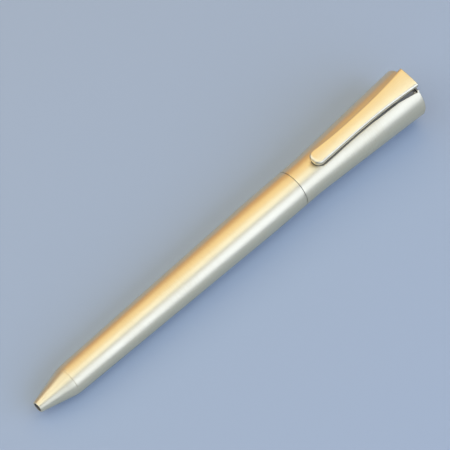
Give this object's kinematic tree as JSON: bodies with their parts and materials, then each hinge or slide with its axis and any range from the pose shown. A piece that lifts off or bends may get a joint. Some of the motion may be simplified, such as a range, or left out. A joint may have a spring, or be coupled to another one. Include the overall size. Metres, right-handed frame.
{
  "type": "twist ballpoint pen",
  "caption": "Slender satin metal ballpoint pen with a conical nose, tapered barrel, flared twist head and sprung pocket clip; turning the head slides the refill out through the nose.",
  "frame": {"origin": "on the pen's axis at the twist seam, where barrel and head meet", "axes": "+X along the pen's axis toward the flared end, so the writing point faces -X; +Z through the pocket clip at rest; +Y completes the right-handed frame"},
  "size_m": [0.137, 0.0152, 0.0172],
  "materials": {
    "satin_metal": "satin, fine turned grain",
    "clip_metal": "satin, lengthwise grain",
    "mech_brass": "turned",
    "spring_steel": "bright drawn wire",
    "refill_metal": "drawn tube",
    "point_metal": "turned nickel silver",
    "dark_plastic": "moulded",
    "grey_plastic": "moulded",
    "ink": "thick paste"
  },
  "bodies": {
    "barrel": {"nose_cone": "satin_metal", "barrel_shell": "satin_metal", "barrel_bush": "mech_brass", "guide_tube": "mech_brass", "retaining_ring": "spring_steel", "seam_washer": "grey_plastic", "refill_spring": "spring_steel"},
    "refill": {"refill_point": "point_metal", "refill_tube": "refill_metal", "refill_ink": "ink", "refill_plug": "dark_plastic", "follower": "dark_plastic", "drive_pin": "spring_steel"},
    "ball": {"point_ball": "spring_steel"},
    "head": {"head_shell": "satin_metal", "mech_casing": "mech_brass", "cam_sleeve": "mech_brass", "clip_block": "grey_plastic", "clip_pin": "spring_steel", "clip_spring": "spring_steel", "end_cap": "satin_metal"},
    "clip": {"clip": "clip_metal"}
  },
  "joints": [
    {"name": "twist", "type": "hinge", "parent": "barrel", "child": "head", "pos_m": [0, 0, 0], "axis": [1, 0, 0], "range_deg": [0, 180]},
    {"name": "refill_slide", "type": "slide", "parent": "barrel", "child": "refill", "axis": [-1, 0, 0], "range_m": [0, 0.0052], "deforming": ["refill_spring"]},
    {"name": "clip_rock", "type": "hinge", "parent": "head", "child": "clip", "pos_m": [0.031, 0, 0.0043], "axis": [0, 1, 0], "range_deg": [0, 5], "stiffness_Nm_per_rad": 0.08, "springref_deg": -14.32, "deforming": ["clip_spring"]},
    {"name": "ball_roll", "type": "hinge", "parent": "refill", "child": "ball", "pos_m": [-0.0901, 0, 0], "axis": [0, 1, 0], "continuous": true}
  ],
  "couplings": [
    {"joint": "twist", "follows": "refill_slide", "rad_per_m": 604.15}
  ]
}
